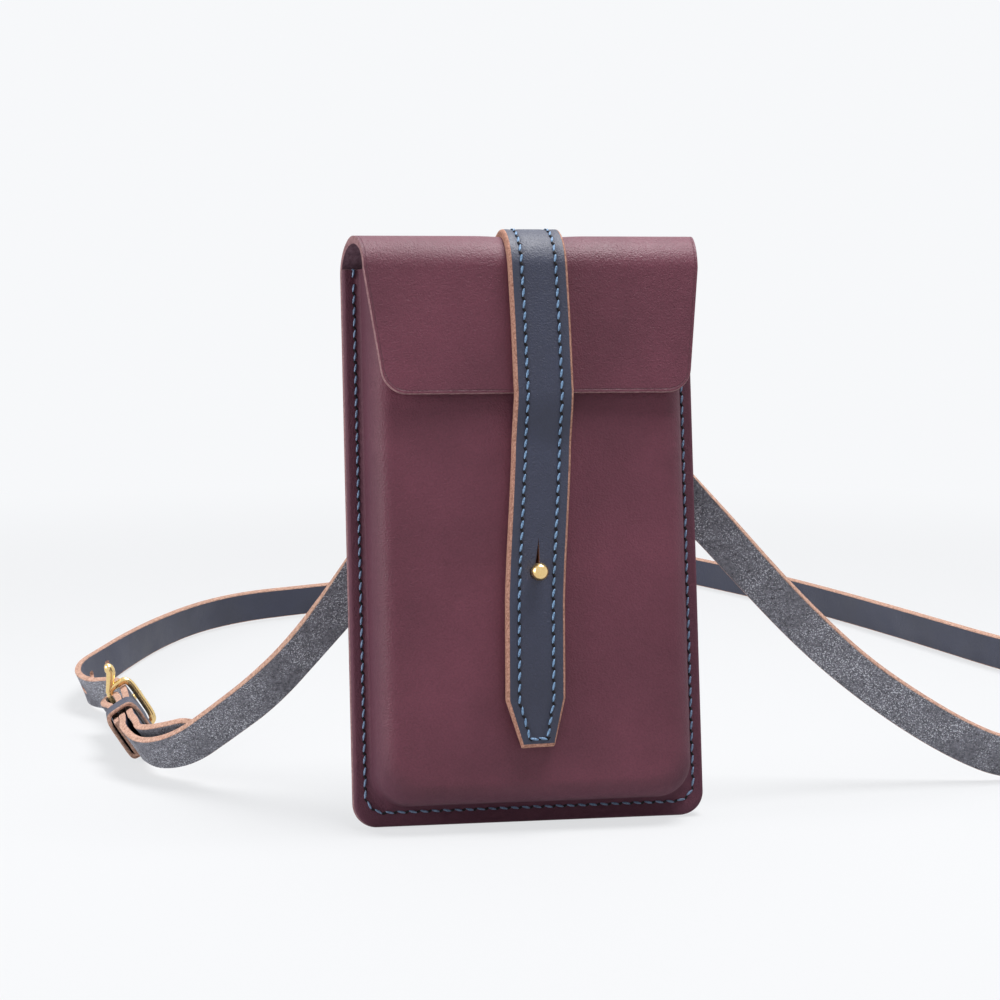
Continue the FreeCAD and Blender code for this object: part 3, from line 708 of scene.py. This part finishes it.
def flap_path():
    """Rows of the back and flap sheet: its outside and inside lines, and its half width with and
    without corners.

    The line goes up the back, round half a circle and down the front. The half width is the
    pouch's, tapers with the depth over the bend and with the height on the front, and follows a
    quarter circle at the corners.
    """
    corner_steps = 14
    corner = linspace(0, pi / 2, corner_steps)
    turn = linspace(0, pi, 46)[1:]
    low = outline_corner * (1 - cos(corner))
    back_z = chain([low, linspace(outline_corner, bend_z, 40)[1:]])
    end = flap_corner * (1 - cos(corner[::-1]))
    front_z = chain([linspace(bend_z, flap_bottom + flap_corner, 26)[1:], flap_bottom + end[1:]])
    z_out = chain([back_z, bend_z + bend_radius * sin(turn), front_z])
    z_in = chain([back_z, bend_z + (bend_radius - leather) * sin(turn), front_z])
    y_turn = chain([ones(len(back_z)), cos(turn), -ones(len(front_z))])
    depth_share = (1 - y_turn) / 2
    front_share = clip((bend_z - front_z) / (bend_z - flap_bottom), 0, 1)
    half = half_width - flap_bend_taper * depth_share
    half[-len(front_z):] -= flap_front_taper * front_share
    full = half.copy()
    half[:corner_steps] -= outline_corner * (1 - sin(corner))
    half[1 - corner_steps:] -= flap_corner * (1 - sin(corner[::-1][1:]))
    return y_turn, z_out, z_in, half, full


def back_and_flap():
    """The back panel and the flap as one sheet, with the distance from its edge as a field."""
    y_turn, z_out, z_in, half, full = flap_path()
    spread = sin(linspace(-pi / 2, pi / 2, 90))
    skew = flap_skew(y_turn, z_out)
    x = half[:, None] * spread + skew[:, None]
    arch = clip((z_out - bend_z) / bend_radius, 0, 1)[:, None]
    beside = clip(np.abs(x - strap_bow(bend_z + bend_radius)) - closure_half, 0, None)
    dip = flap_dip * arch * bump(beside, 0, flap_dip_reach)
    outer = stand(x, bend_y + (bend_radius * y_turn)[:, None], z_out[:, None] - dip)
    inner = stand(x, bend_y + ((bend_radius - leather) * y_turn)[:, None], z_in[:, None] - dip)
    index = numbered(*x.shape)
    path = chain([index[0], index[1:, -1], index[-1, ::-1][1:], index[1:-1, 0][::-1]])
    points, faces, finish = slab(outer, inner, path, True)
    rim = rim_distance(x - skew[:, None], z_out, full, y_turn)
    fields = chain([rim.ravel(), rim.ravel(), zeros(len(points) - 2 * rim.size)])
    return piece("back_and_flap", points, faces, [burgundy_flap, burgundy_edge, burgundy_flesh],
                 finish, {"rim": fields / rim_scale})


def on_front(y_turn):
    """Whether a row lies on the flap's straight front, past the bend."""
    return y_turn < -0.999


def flap_skew(y_turn, z):
    """How far the flap lies to +X of the middle: grows over the bend, and again down the front."""
    low = clip((bend_z - z) / (bend_z - flap_bottom), 0, 1) * on_front(y_turn)
    return flap_skew_bend * (1 - y_turn) / 2 + (flap_skew_low - flap_skew_bend) * low


def rim_distance(x, z, full, y_turn):
    """Distance of the flap's points from its outline: the sides, the lower edge or a corner."""
    side = full[:, None] - np.abs(x)
    below = where(on_front(y_turn), z - flap_bottom, 1.0)[:, None] + 0 * x
    rounded = flap_corner - np.hypot(maximum(flap_corner - side, 0),
                                     maximum(flap_corner - below, 0))
    return where((side < flap_corner) & (below < flap_corner), rounded, minimum(side, below))


# Closure strap

def strap_bow(z):
    """How far the closure strap lies to +X of the middle on the front, by height."""
    heights = array([20, 35, 62, 72, 90, 100, 119, 140, 164]) * mm
    return np.interp(z, heights, array([-0.7, -1.1, -0.5, 0.1, 1.5, 2.2, 3.1, 2.7, 1.9]) * mm)


def closure_bend(start, end):
    """y and z of the strap's inner line on part of the bend: an ellipse, sunk in at the top."""
    turn = linspace(start, end, 26)
    return bend_y + bend_radius * cos(turn), bend_z + (bend_radius - closure_sink) * sin(turn)


def closure_line(name):
    """The strap's inner line: up the back over the belt loop to the top, or from there to the tip.

    The loop stands off by a smooth step, the bend is an ellipse on the flap's outside, and the tail
    settles from the flap's face to the box's by another smooth step.
    """
    if name == "behind":
        up = linspace(loop_bottom, loop_top, 80)
        ramp = loop_land + loop_ramp
        raised = (eased(up, loop_bottom + loop_land, loop_bottom + ramp)
                  * (1 - eased(up, loop_top - ramp, loop_top - loop_land)))
        bend = closure_bend(0, pi / 2)
        y = chain([bend_y + bend_radius + loop_standoff * raised, bend[0]])
        z = chain([up, bend[1]])
        top = bend_z + bend_radius
        x = strap_bow(np.full(len(z), top)) * eased(z, loop_top, top)
    else:
        down = chain([linspace(bend_z, taper_start, 170)[1:],
                      linspace(taper_start, tip_height, 40)[1:]])
        front = bend_y - bend_radius
        settled = eased(down, settle_top, settle_bottom)
        bend = closure_bend(pi / 2, pi)
        y = chain([bend[0], front + (tail_y - front) * settled])
        z = chain([bend[1], down])
        x = strap_bow(z)
    centre = stand(x, y, z)
    heading = unit(gradient(centre, axis=0))
    side = square_to(array([1.0, 0, 0]), heading)
    return centre, side, cross(heading, side), z


closure_section = strap_section(closure_thickness, *closure_bevel, 15)
closure_dips = ((closure_row, *stitch_dip),)


def closure_behind():
    """The strap behind, up the back and over the belt loop, of one width."""
    centre, side, out, z = closure_line("behind")
    half = np.full(len(z), closure_half)
    return strap("closure_strap_behind", (centre, side, out, half), closure_section,
                 [navy, closure_edge, navy_back], dips=closure_dips)


def closure_halves(z):
    """Half the strap's width by height, straight and then tapered, and the share of its taper."""
    taper = clip((taper_start - z) / (taper_start - tip_height), 0, 1)
    return closure_half + (tip_half - closure_half) * taper, taper


def closure_front():
    """The strap over the flap and down to its tapered tip, with the wedge slit above the stud."""
    centre, side, out, z = closure_line("front")
    half, taper = closure_halves(z)
    down = z < settle_bottom
    hole = sqrt(clip(keyhole_half ** 2 - (z - stud_height) ** 2, 0, None))
    slit = slit_half * clip((stud_height + slit_length + keyhole_half - z) / slit_length, 0, 1)
    opening = where(down, maximum(hole, where(z > stud_height, slit, 0)), 0)
    end = clip(1 - (z - tip_height) / tip_round, 0, 1)
    return strap("closure_strap_front", (centre, side, out, half), closure_section,
                 [navy, closure_edge, navy_back], opening,
                 closure_thickness * tip_drop_share * end ** 2, end > 0,
                 1 - (1 - tip_bevel_share) * taper, closure_dips)


def evenly(line):
    """Distances of stitches at an even pitch along a line, and those of its own points."""
    run = distances(line)
    count = int(run[-1] / stitch_pitch)
    return run[-1] * ((arange(count) + 0.5) / count), run


def row_along(line, half):
    """Stitch centres at an even pitch along a strap's face near an edge, with their directions."""
    centre, side, out, _ = line
    face = centre + side * half[:, None] + out * (closure_thickness - stitch_bed)
    stops, run = evenly(face)
    return (sampled(stops, run, face), sampled(stops, run, gradient(face, axis=0)),
            unit(sampled(stops, run, out)))


def joined(rows):
    """Several rows of stitches as one."""
    return tuple(chain(parts) for parts in zip(*rows))


def closure_stitches():
    """Rows along both edges of the closure strap that meet round its tip."""
    line = closure_line("front")
    z = line[3]
    half, taper = closure_halves(z)
    half = half - closure_row - (tip_row - closure_row) * taper
    last = np.argmin(np.abs(z - tip_height - tip_row))
    keep = tuple(part[:last + 1] for part in line)
    rows = [row_along(keep, sign * half[:last + 1]) for sign in (1, -1)]
    corner = half[last]
    middle = line[0][last] + line[2][last] * (closure_thickness - stitch_bed)
    across_tip = array([-corner / 2, corner / 2])[:, None]
    rows.append((middle + line[1][last] * across_tip, repeat(line[1][last][None], 2, 0),
                 repeat(line[2][last][None], 2, 0)))
    return joined(rows)


def loop_stitches():
    """Rows along both edges of the strap behind, from the loop's foot to the top of the bend."""
    line = closure_line("behind")
    half = np.full(len(line[0]), closure_half - closure_row)
    return joined([row_along(line, sign * half) for sign in (1, -1)])


def needle_holes(name, centres, along, out):
    """Dark slanted marks of painted shade half a pitch from the stitches, where the thread goes
    down.
    """
    along = unit(along)
    places = centres + along * (stitch_pitch / 2) - out * needle_depth
    return thread(name, places, along, out, needle_hole_shade, needle_length, needle_radius, needle_slant,
                  needle_flat)


# Seam

def seam_line(height):
    """The seam's rounded U on the flange, as points from one top corner to the other."""
    rise = linspace(0, 1, 500)
    x, z = rounded_u(half_width - seam_side, seam_bottom, seam_corner, front_top - seam_start, rise,
                     rise * pi / 2, 2 * rise - 1)
    return stand(chain(x), height, chain(z))


def seam_stitches(height, facing):
    """Stitches at an even pitch along the seam, facing the front or the back."""
    line = seam_line(height)
    stops, run = evenly(line)
    centres = sampled(stops, run, line)
    along = sampled(stops, run, gradient(line, axis=0))
    out = repeat(stand(0, facing, 0)[None], len(stops), 0)
    return centres, along, out


def top_stitches():
    """The thread that goes over the front's top edge at both ends of the seam."""
    none = zeros(4)
    x = repeat([-1, 1], 2) * (half_width - seam_side)
    y = tile([-leather - 0.1 * mm, -leather / 2], 2)
    z = front_top + tile([-1.0, 0.15], 2) * mm
    along = stand(none, tile([0, 1.0], 2), tile([1, 0.2], 2))
    out = stand(none, tile([-1, -0.2], 2), tile([0, 1.0], 2))
    return stand(x, y, z), along, out


# Stud, buckle, keeper

def ball_stud():
    """The stud: a foot, a neck and a ball with a small flat, turned about one axis."""
    ball, ball_at = 2.5 * mm, 6.7 * mm
    turn = radians(linspace(-52, 50, 24))
    foot = array([(0, -0.4), (2.1, -0.4), (2.1, 0.1), (1.6, 0.3), (1.55, 3.5)]) * mm
    flat = array([(1.35, 2.05), (1.2, 2.1), (0, 2.1)]) * mm
    radii = chain([foot[:, 0], ball * cos(turn), flat[:, 0]])
    heights = chain([foot[:, 1], ball_at + ball * sin(turn), ball_at + flat[:, 1]])
    return lathe("ball_stud", radii, heights, stand(0, -box_depth, stud_height),
                 stand(0, -1, 0), brass)


def tube(name, line, radius, normal, closed, material):
    """A round bar along a flat line: circles across it, in the plane of its side and normal."""
    if closed:
        tangent = unit(np.roll(line, -1, 0) - np.roll(line, 1, 0))
    else:
        tangent = unit(gradient(line, axis=0))
    side = cross(normal, tangent)
    turn = linspace(0, 2 * pi, 21)[:-1]
    ring = side[:, None] * cos(turn)[:, None] + np.asarray(normal) * sin(turn)[:, None]
    points = line[:, None] + ring * radius[:, None, None]
    index = numbered(*points.shape[:2], closed=True, looped=closed)
    return piece(name, points, grid_faces(index), [material], crease=60)


def in_buckle(u, w, y):
    """A point by the heel bar: across the strap's face, up its width, and along it."""
    u, w, y = (np.asarray(value)[..., None] for value in np.broadcast_arrays(u, w, y))
    return heel_centre + across * u + upward * w + backward * y


def buckle_ring():
    """The buckle's frame: a superellipse through its heel bar, its arched rails and its far bar."""
    turn = linspace(0, 2 * pi, 161)[:-1]
    half_depth = 3.95 * mm
    half_height = 8.3 * mm
    bar_radius = 1.15 * mm
    u, w = superellipse(turn, 2 / 5)
    line = in_buckle(half_depth * (1 + u), half_height * w, 0)
    return tube("buckle_ring", line, np.full(len(line), bar_radius), backward, True, brass)


def keeper_band():
    """The leather keeper: a superellipse round the strap, rounder above, carried along it."""
    turn = linspace(0, 2 * pi, 121)[:-1]
    upper = sin(turn) > 0
    height = where(upper, 8.95, 7.9) * mm
    half_depth = 5.4 * mm
    centre = array([-106.6, 100.0, 9.5]) * mm
    length = 9 * mm
    share = array([-1, -0.96, 0.96, 1, 1, 0.96, -0.96, -1])
    inset = array([0.25, 0, 0, 0.25, 0.85, 1.1, 1.1, 0.85])[:, None] * mm
    u, w = superellipse(turn, where(upper, 2 / 4.6, 2 / 7))
    points = (centre + across * (u * (half_depth - inset))[..., None]
              + upward * (w * (height - inset))[..., None]
              + backward * (share * length / 2)[:, None, None])
    index = numbered(*points.shape[:2], closed=True, looped=True)
    finish = repeat([1, 0, 1, 1, 1, 2, 1, 1], len(turn))
    return piece("keeper_band", points, grid_faces(index), [navy, tan_edge, navy_back], finish)


def buckle_horn():
    """The horn on the heel bar's top: upright, then an arc of a circle to -X, and a blunt tip."""
    rise = linspace(0, 6.4, 24) * mm
    angle = radians(linspace(0, 84, 24)[1:])
    curl = 2.4 * mm
    slant = 0.1
    blunt_from, blunt_length = 0.7, 0.3
    x = chain([slant * rise, slant * rise[-1] - curl * (1 - cos(angle))])
    z = chain([rise, rise[-1] + curl * sin(angle)])
    share = linspace(0, 1, len(x))
    blunt = ((share - blunt_from) / blunt_length).clip(0)
    radius = (1.1 + 0.75 * share) * mm * sqrt(clip(1 - blunt ** 2, 0.004, 1))
    line = in_buckle(0.3 * mm, 7.4 * mm, 0) + column_stack([x, 0 * x, z])
    return tube("buckle_horn", line, radius, backward, False, brass)


# Shoulder strap

strap_profile = strap_section(strap_thickness, *strap_bevel, 7)


def strap_frame(route):
    """The strap's middle line with its width and its hair side, from the route's NURBS spline.

    The upper edge's lean is carried along the same spline, and the hair side faces left of the way.
    """
    line = smooth_line(route[:, :3])
    leans = column_stack([-np.tan(radians(route[:, 3])), np.tan(radians(route[:, 4])),
                          ones(len(route))])
    lean_line = smooth_line(leans)
    heading = unit(gradient(line, axis=0))
    width = square_to(lean_line, heading)
    return line, width, -cross(heading, width)


def oblong_openings(rows, places, half_length, half_opening):
    """Half the opening at each row: round-ended slots at the given places."""
    away = np.abs(rows[:, None] - places)
    past = clip(away - (half_length - half_opening), 0, None)
    return sqrt(clip(half_opening ** 2 - past ** 2, 0, None)).max(1)


def shoulder_strap(name, route, slots, skive=0.0, round_end=0.0):
    """A strap along its route: round-ended slots, a start pared thin and an elliptic end."""
    line, width, out = strap_frame(route)
    run = distances(line)
    half_length, half_opening, places = slots
    places = np.asarray(places(line, run))
    quarter = half_opening * cos(linspace(0, pi / 2, 7))
    steps = chain([half_length - half_opening + quarter, [0]])
    tip = run[-1] - round_end * (1 - sin(linspace(0, pi / 2, 12)))
    around = places[:, None]
    rows = np.unique(chain([run, tip, (around + steps).ravel(), (around - steps).ravel()]))
    opening = oblong_openings(rows, places, half_length, half_opening)
    opening[opening < 0.01 * mm] = 0
    pared = 1 - eased(rows, 0, skive) if skive else 0 * rows
    centre = sampled(rows, run, line)
    out = unit(sampled(rows, run, out))
    past = clip(rows - run[-1] + round_end, 0, None) / max(round_end, mm)
    rounded = sqrt(clip(1 - past ** 2, 0.03, 1))
    frame_line = (centre - out * (strap_thickness / 2), unit(sampled(rows, run, width)), out,
                  strap_half * (1 - pared_width_share * pared) * rounded)
    return strap(name, frame_line, strap_profile, [navy, tan_edge, flesh], opening,
                 pared_depth_share * strap_thickness * pared), line


def hole_places(line, run):
    """Distances of the oblong holes: the prong's hole, one nearer the end, the rest before it."""
    shank = unit(backward * cos(prong_angle) + across * sin(prong_angle))
    offset = line - heel_centre
    miss = np.linalg.norm(offset - (offset @ shank)[:, None] * shank, axis=1)
    return run[np.argmin(miss)] + hole_pitch * (holes_past - arange(hole_count))


def fold_place(line, run):
    """Distance of the slot for the prong, at the fold round the heel bar."""
    return run[[np.argmin(np.linalg.norm(line - heel_centre - backward * fold_reach, axis=1))]]


# Assembly

hinge_reach = 4.45 * mm
tail_fold_y = -19 * mm
hinge_start = stand(0, 1.5 * mm, 154 * mm)
hinge_end = hinge_start + stand(0, -1, 0.35) * hinge_reach
tail_start = stand(0, tail_fold_y, 121 * mm)
tail_end = stand(0, tail_fold_y, 111 * mm)


def dress_pouch():
    """The moulded front, the back and flap, and the seam with its needle holes."""
    front = moulded_front()
    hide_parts("front_panel")
    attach(front, "pouch")
    sheet = back_and_flap()
    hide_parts("back_panel", "flap")
    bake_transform(sheet)
    for name, side, facing in (("front", seam_bed - leather, -1), ("back", leather - seam_bed, 1)):
        rows = seam_stitches(side, facing)
        holes = needle_holes("seam_needle_holes_" + name, *rows)
        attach(holes, "pouch")
        if name == "front":
            rows = joined([rows, top_stitches()])
        seam = thread("seam_thread_" + name, *rows, seam_blue)
        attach(seam, "pouch")
        if name == "front":
            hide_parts("pouch_seam_thread")


def dress_closure():
    """The closure strap, behind and over the flap down to its tip, with its thread."""
    behind = closure_behind()
    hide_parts("belt_loop", "belt_loop_lining")
    front = closure_front()
    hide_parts("closure_strap", "closure_strap_lining", "strap_tail", "strap_tail_lining")
    front_rows = closure_stitches()
    front_thread = thread("closure_thread_front", *front_rows, strap_blue)
    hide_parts("closure_strap_thread", "strap_tail_thread")
    front_holes = needle_holes("closure_needle_holes_front", *front_rows)
    back_rows = loop_stitches()
    back_thread = thread("closure_thread_behind", *back_rows, strap_blue)
    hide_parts("belt_loop_thread")
    back_holes = needle_holes("closure_needle_holes_behind", *back_rows)
    for made in (front, front_thread, front_holes):
        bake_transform(made)
    for made in (behind, back_thread, back_holes):
        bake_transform(made)


def dress_metal():
    """The stud, the buckle, and the brass colour of the two solids that no piece replaces."""
    stud = ball_stud()
    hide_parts("stud_knob")
    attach(stud, "pouch")
    ring = buckle_ring()
    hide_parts("buckle_frame")
    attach(ring, "buckle")
    horn = buckle_horn()
    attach(horn, "buckle")
    for node in ("stud_screw", "buckle_prong"):
        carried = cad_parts[node]
        carried.data.materials.clear()
        carried.data.materials.append(brass)
    return ring, horn


def dress_strap(ring, horn):
    """Both parts of the shoulder strap, the keeper and the thread of the fold."""
    keeper = keeper_band()
    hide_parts("strap_keeper")
    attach(keeper, "keeper")
    slots = (*prong_slot, fold_place)
    buckle_end, buckle_line = shoulder_strap("shoulder_strap_buckle_side", buckle_end_route, slots,
                                             pared_length)
    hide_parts("shoulder_strap_buckle_end")
    slots = (hole_half_length, hole_half_width, hole_places)
    hole_end, hole_line = shoulder_strap("shoulder_strap_hole_side", hole_end_route, slots,
                                         round_end=hole_end_round)
    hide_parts("shoulder_strap_hole_end")
    steps = (arange(fold_stitches) - (fold_stitches - 1) / 2)[:, None] * fold_pitch
    fold = thread("fold_thread", fold_stitch_place + upward * steps,
                  repeat(upward[None], fold_stitches, 0),
                  repeat(-across[None], fold_stitches, 0), strap_blue)
    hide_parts("buckle_fold_thread")
    for made in (buckle_end, hole_end, fold):
        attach(made, "pouch")
    distances(buckle_line)[-1]
    distances(hole_line)[-1]


# Stage, light and camera

def seen_directly(tree):
    """A value of 1 for camera, glossy and transmission rays, and 0 for the rest."""
    path = add_node(tree, "ShaderNodeLightPath")
    value = path.outputs["Is Camera Ray"]
    for name in ("Is Glossy Ray", "Is Transmission Ray"):
        joint = add_node(tree, "ShaderNodeMath", operation="MAXIMUM")
        tree.links.new(value, joint.inputs[0])
        tree.links.new(path.outputs[name], joint.inputs[1])
        value = joint.outputs[0]
    return value


def pale_floor():
    """A wide floor that takes the object's shadow and turns into the plain backdrop further off."""
    corners = array([(-1, -1, 0), (1, -1, 0), (1, 1, 0), (-1, 1, 0)]) * floor_reach
    mesh = bpy.data.meshes.new("floor")
    mesh.from_pydata((corners - (0, 0, floor_drop)).tolist(), [], [(0, 1, 2, 3)])
    floor = add_object("floor", mesh)
    finish = Finish("pale_floor", 0.7, specular=0.1)
    seen = seen_directly(finish.tree)
    finish.colour(finish.mix(seen, floor_bounce, floor_colour))
    glow = finish.node("ShaderNodeEmission", {"Color": (*backdrop_colour, 1)})
    away = finish.node("ShaderNodeVectorMath", {1: floor_middle}, operation="DISTANCE")
    fade = finish.node("ShaderNodeMapRange",
                       {"From Min": 0.25, "From Max": 0.75, "To Min": 0.74, "To Max": 1.0},
                       interpolation_type="SMOOTHSTEP")
    share = finish.node("ShaderNodeMath", operation="MULTIPLY")
    mixed = finish.node("ShaderNodeMixShader")
    surface = finish.tree.nodes["Material Output"].inputs["Surface"]
    for output, target in (
            (finish.place, away.inputs[0]), (away.outputs["Value"], fade.inputs["Value"]),
            (fade.outputs["Result"], share.inputs[0]), (seen, share.inputs[1]),
            (share.outputs[0], mixed.inputs[0]), (finish.shader.outputs[0], mixed.inputs[1]),
            (glow.outputs[0], mixed.inputs[2]), (mixed.outputs[0], surface)):
        finish.link(output, target)
    mesh.materials.append(finish.material)


def soft_world(level, overhead):
    """Light from all round: level at the horizon, overhead at the top, and plain where seen."""
    world = bpy.data.worlds.new("studio")
    bpy.context.scene.world = world
    world.use_nodes = True
    tree = world.node_tree
    light = tree.nodes["Background"]
    light.inputs["Color"].default_value = (*sky_colour, 1)
    place = add_node(tree, "ShaderNodeTexCoord")
    parts = add_node(tree, "ShaderNodeSeparateXYZ")
    rise = add_node(tree, "ShaderNodeMapRange", {"To Min": level, "To Max": overhead})
    plain = add_node(tree, "ShaderNodeBackground", {"Color": (*backdrop_colour, 1)})
    mixed = add_node(tree, "ShaderNodeMixShader")
    for output, target in (
            (place.outputs["Generated"], parts.inputs[0]),
            (parts.outputs["Z"], rise.inputs["Value"]),
            (rise.outputs["Result"], light.inputs["Strength"]),
            (seen_directly(tree), mixed.inputs[0]), (light.outputs[0], mixed.inputs[1]),
            (plain.outputs[0], mixed.inputs[2]),
            (mixed.outputs[0], tree.nodes["World Output"].inputs["Surface"])):
        tree.links.new(output, target)


def softbox(name, place, target, size, power):
    """A round lamp whose -Z points from its place to a target, with X level."""
    data = bpy.data.lights.new(name, "AREA")
    data.shape, data.size, data.energy = "DISK", size, power
    ahead = unit(np.subtract(target, place))
    right = unit(cross(ahead, (0, 0, 1)))
    add_object(name, data, column_stack([right, cross(right, ahead), -ahead]), place)


def photograph_camera():
    """The camera: yawed from +Y towards +X, pitched down and rolled."""
    ahead = array([sin(camera_yaw) * cos(camera_pitch),
                   cos(camera_yaw) * cos(camera_pitch), -sin(camera_pitch)])
    right = array([cos(camera_yaw), -sin(camera_yaw), 0])
    up = cross(right, ahead)
    rolled_right = right * cos(camera_roll) + up * sin(camera_roll)
    rolled_up = up * cos(camera_roll) - right * sin(camera_roll)
    data = bpy.data.cameras.new("camera")
    data.sensor_width, data.sensor_fit = camera_sensor, "HORIZONTAL"
    data.lens, data.clip_start = camera_lens, camera_near
    axes = column_stack([rolled_right, rolled_up, -ahead])
    bpy.context.scene.camera = add_object("camera", data, axes, camera_place)


photograph_camera()
bpy.context.scene.view_settings.view_transform = "Standard"
pale_floor()
soft_world(level=0.06, overhead=0.20)
softbox("overhead_front", (0.22, -0.06, 1.0), (0, 0.03, 0.05), 0.55, 15.0)
softbox("overhead_back", (0.1, 0.5, 1.0), (0, 0.05, 0.15), 0.8, 3.0)
softbox("left", (-0.95, -0.15, 0.4), (0, 0, 0.08), 0.6, 8.0)
dress_pouch()
dress_closure()
dress_strap(*dress_metal())
